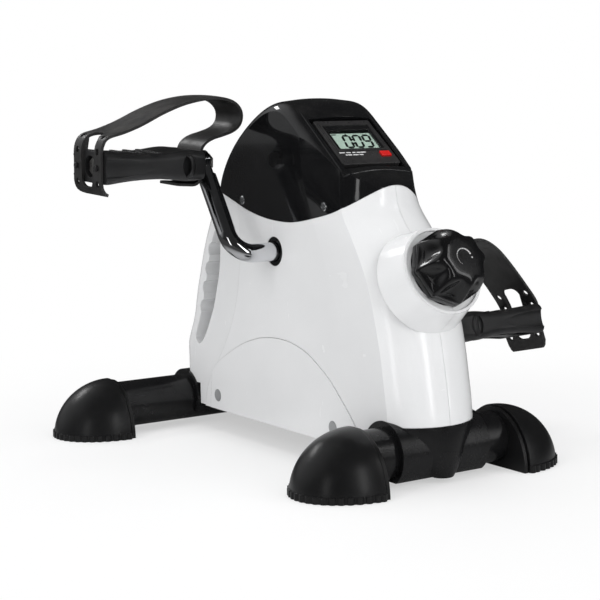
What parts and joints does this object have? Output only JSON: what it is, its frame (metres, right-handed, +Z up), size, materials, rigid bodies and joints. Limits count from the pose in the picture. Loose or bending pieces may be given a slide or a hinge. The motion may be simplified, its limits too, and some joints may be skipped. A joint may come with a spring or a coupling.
{
  "type": "pedal exerciser",
  "caption": "Tabletop and floor pedal exerciser: white shell on two capped cross tubes, bent chrome crank with strapped pedals, small display and a tension knob.",
  "frame": {"origin": "floor level, under the middle of the whole object's bounding box, on the body's middle plane", "axes": "+Z up, -Y towards the user (knob and display side), +X to the user's right, along the crank and tube axes"},
  "size_m": [0.3877, 0.4166, 0.3058],
  "materials": {
    "white_shell": "gloss moulded",
    "black_gloss": "piano black gloss",
    "black_satin": "fine satin texture",
    "cap_plastic": "semi-gloss moulded",
    "tube_paint": "satin powder coat",
    "frame_paint": "matt primer",
    "chrome": "polished plate",
    "steel": "zinc plated",
    "rubber": "moulded rubber",
    "pedal_plastic": "soft satin",
    "drum_iron": "machined rim",
    "felt": "woven band with felt face",
    "bronze": "sintered",
    "nylon": "natural nylon",
    "grey_plug": "fine matt",
    "red_button": "gloss",
    "lcd_green": "reflective panel",
    "clear_window": "clear",
    "pcb": "solder mask",
    "cell": "nickel",
    "cable_black": "pvc jacket"
  },
  "bodies": {
    "base": {"left_body_shell": "white_shell", "right_body_shell": "white_shell", "left_side_cover": "white_shell", "right_side_cover": "white_shell", "top_cover": "black_gloss", "display_housing": "black_gloss", "front_tube_saddle": "black_satin", "rear_tube_saddle": "black_satin", "left_crank_ring": "black_satin", "right_crank_ring": "black_satin", "front_left_foot_cap": "cap_plastic", "front_right_foot_cap": "cap_plastic", "rear_left_foot_cap": "cap_plastic", "rear_right_foot_cap": "cap_plastic", "front_base_tube": "tube_paint", "rear_base_tube": "tube_paint", "steel_frame": "frame_paint", "top_cover_screws": "chrome", "shell_screws": "steel", "screw_plugs": "grey_plug", "speed_sensor": "black_satin", "sensor_cable": "cable_black", "left_crank_bush": "bronze", "right_crank_bush": "bronze", "knob_bush": "nylon", "brake_band": "felt", "brake_anchor_pin": "steel", "tension_spring": "steel", "spring_pin": "steel", "display_window": "clear_window", "lcd_panel": "lcd_green", "display_board": "pcb", "battery_cell": "cell"},
    "crank": {"crank_rod": "chrome", "friction_drum": "drum_iron", "drum_pin": "steel", "speed_magnet": "steel", "left_pedal_axle": "steel", "right_pedal_axle": "steel", "pedal_axle_nuts": "steel"},
    "left_pedal": {"left_pedal": "pedal_plastic", "left_pedal_strap": "rubber"},
    "right_pedal": {"right_pedal": "pedal_plastic", "right_pedal_strap": "rubber"},
    "tension_knob": {"tension_knob": "black_gloss", "tension_screw": "steel"},
    "tension_nut": {"tension_nut": "steel"},
    "mode_button": {"mode_button": "red_button"}
  },
  "joints": [
    {"name": "crank_spin", "type": "hinge", "parent": "base", "child": "crank", "pos_m": [0, 0.002, 0.172], "axis": [1, 0, 0], "continuous": true},
    {"name": "left_pedal_turn", "type": "hinge", "parent": "crank", "child": "left_pedal", "pos_m": [0, 0.05195, 0.24747], "axis": [1, 0, 0], "continuous": true, "deforming": ["left_pedal_strap"]},
    {"name": "right_pedal_turn", "type": "hinge", "parent": "crank", "child": "right_pedal", "pos_m": [0, -0.04795, 0.09653], "axis": [1, 0, 0], "continuous": true},
    {"name": "tension_knob_turn", "type": "hinge", "parent": "base", "child": "tension_knob", "pos_m": [0, -0.181, 0.171], "axis": [0, 0.8988, -0.4384], "range_deg": [-720, 720]},
    {"name": "tension_nut_travel", "type": "slide", "parent": "base", "child": "tension_nut", "axis": [0, -0.8988, 0.4384], "range_m": [-0.004, 0.004], "deforming": ["tension_spring"]},
    {"name": "mode_button_press", "type": "slide", "parent": "base", "child": "mode_button", "axis": [0, 0.6197, -0.7848], "range_m": [0, 0.0009], "stiffness_N_per_m": 900}
  ],
  "couplings": [
    {"joint": "tension_knob_turn", "follows": "tension_nut_travel", "rad_per_m": 3141.6}
  ]
}
